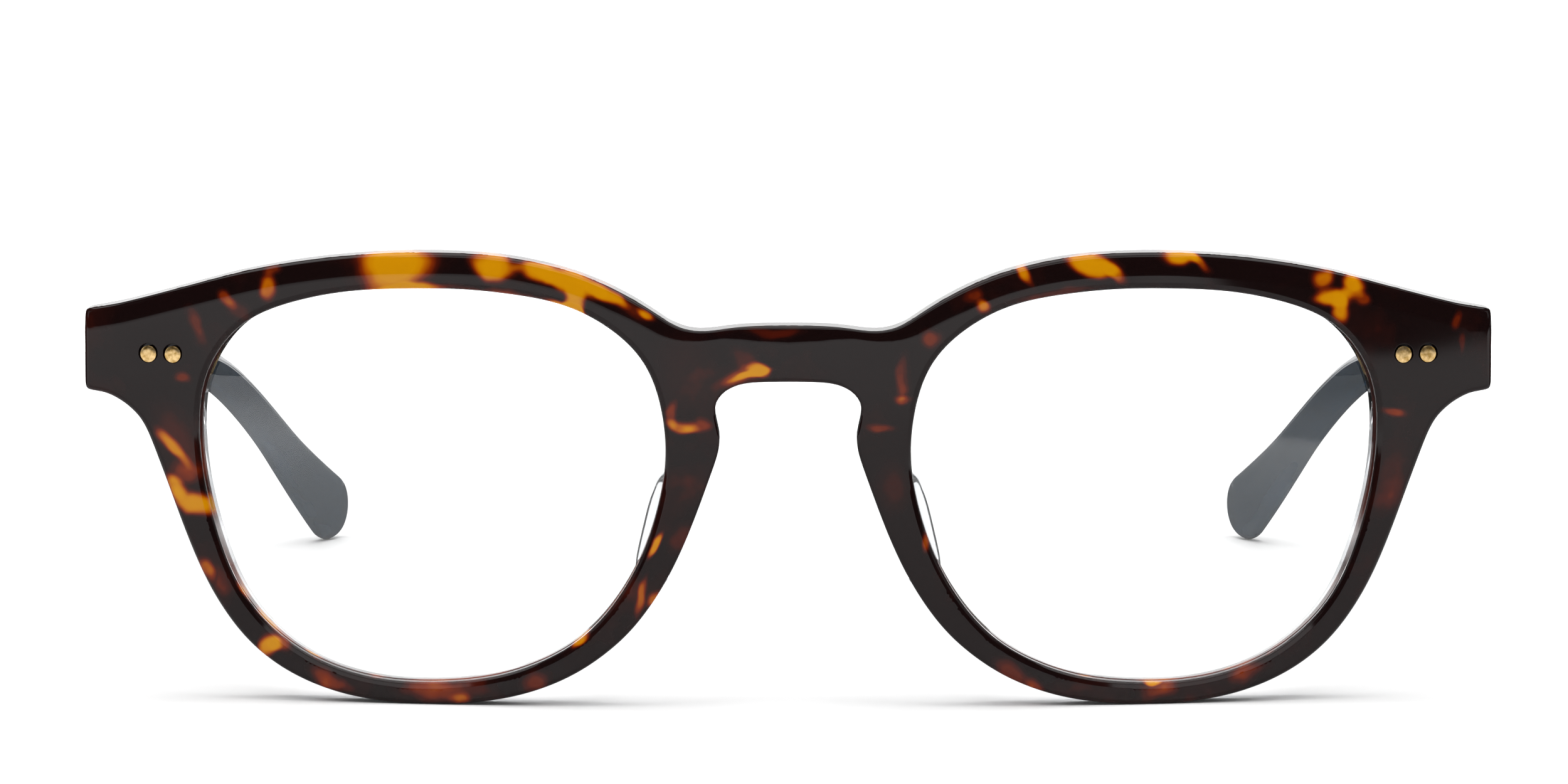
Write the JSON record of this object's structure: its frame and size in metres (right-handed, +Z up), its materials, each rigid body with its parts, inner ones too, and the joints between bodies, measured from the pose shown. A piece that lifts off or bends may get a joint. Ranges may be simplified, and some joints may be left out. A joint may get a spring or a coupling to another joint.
{
  "type": "spectacles",
  "caption": "Full-rim acetate spectacles with round-square rims, a keyhole bridge, clear lenses, riveted hinges and folding temples.",
  "frame": {"origin": "centre of the footprint, on the surface that the rims and temple tips stand on", "axes": "+X to the right of someone facing the front, +Y back along the temples, +Z up"},
  "size_m": [0.1442, 0.1544, 0.0461],
  "materials": {
    "tortoise_acetate": "polished, dark tortoiseshell with amber patches",
    "clear_acetate": "polished, clear",
    "lens": "clear, coated",
    "navy_acetate": "polished, slate navy",
    "brass": "satin",
    "steel": "drawn wire"
  },
  "bodies": {
    "front": {"front_tortoise": "tortoise_acetate", "front_crystal_back": "clear_acetate", "lens_left": "lens", "lens_right": "lens", "nose_pad_left": "clear_acetate", "nose_pad_right": "clear_acetate", "hinge_front_left": "brass", "hinge_front_right": "brass", "front_rivets_left": "brass", "front_rivets_right": "brass", "hinge_screw_left": "brass", "hinge_screw_right": "brass"},
    "temple_left": {"temple_left": "navy_acetate", "core_wire_left": "steel", "hinge_temple_left": "brass", "temple_rivets_left": "brass"},
    "temple_right": {"temple_right": "navy_acetate", "core_wire_right": "steel", "hinge_temple_right": "brass", "temple_rivets_right": "brass"}
  },
  "joints": [
    {"name": "fold_left", "type": "hinge", "parent": "front", "child": "temple_left", "pos_m": [-0.06655, -0.06049, 0.0358], "axis": [0, 0, -1], "range_deg": [0, 80]},
    {"name": "fold_right", "type": "hinge", "parent": "front", "child": "temple_right", "pos_m": [0.06655, -0.06049, 0.0358], "axis": [0, 0, 1], "range_deg": [0, 86]}
  ]
}
